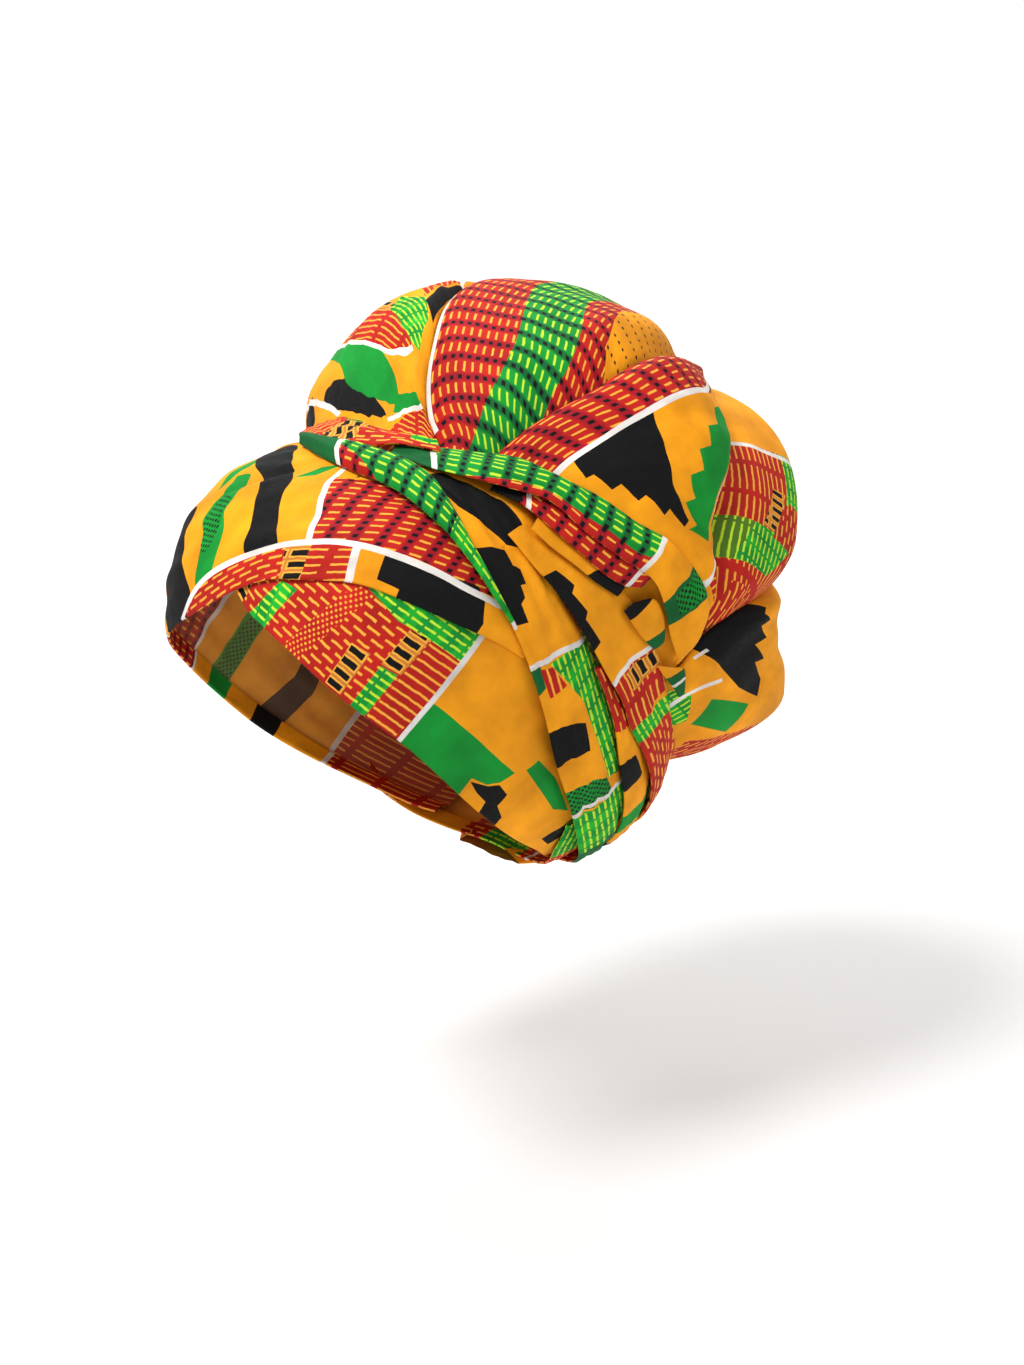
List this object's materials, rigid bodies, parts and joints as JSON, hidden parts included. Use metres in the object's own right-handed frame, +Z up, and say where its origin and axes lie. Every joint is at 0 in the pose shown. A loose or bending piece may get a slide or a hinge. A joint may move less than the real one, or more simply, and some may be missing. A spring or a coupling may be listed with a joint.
{
  "type": "tied head wrap",
  "caption": "African print head wrap in its tied form: crossed bands over the brow, overlapping folds back to the nape, a sash and a full pleated puff over the crown.",
  "frame": {"origin": "top of the crown of the head inside the wrap, where the wrap sits", "axes": "+Z up, -Y the way the brow faces, +Y to the back of the puff, +X the wearer's left"},
  "size_m": [0.209, 0.2693, 0.2446],
  "materials": {
    "puff_cloth": "matte printed cotton",
    "brow_cloth": "matte printed cotton",
    "temple_cloth": "matte printed cotton",
    "nape_cloth": "matte printed cotton",
    "pleat_cloth": "matte printed cotton",
    "right_cloth": "matte printed cotton",
    "sash_cloth": "matte printed cotton",
    "knot_cloth": "matte printed cotton",
    "roll_cloth": "matte printed cotton",
    "tuck_cloth": "matte printed cotton"
  },
  "bodies": {
    "root": {"crown_puff": "puff_cloth", "brow_band": "brow_cloth", "temple_band": "temple_cloth", "nape_band": "nape_cloth", "side_pleat_1": "pleat_cloth", "side_pleat_2": "pleat_cloth", "side_pleat_3": "pleat_cloth", "side_fold_right_1": "right_cloth", "side_fold_right_2": "right_cloth", "nape_tuck": "right_cloth", "ring_sash_left": "sash_cloth", "ring_sash_right": "sash_cloth", "sash_underfold": "sash_cloth", "sash_inner_fold": "sash_cloth", "knot_fold": "knot_cloth", "twist_roll": "roll_cloth", "tuck_fold_1": "tuck_cloth", "tuck_fold_2": "tuck_cloth"}
  },
  "joints": []
}
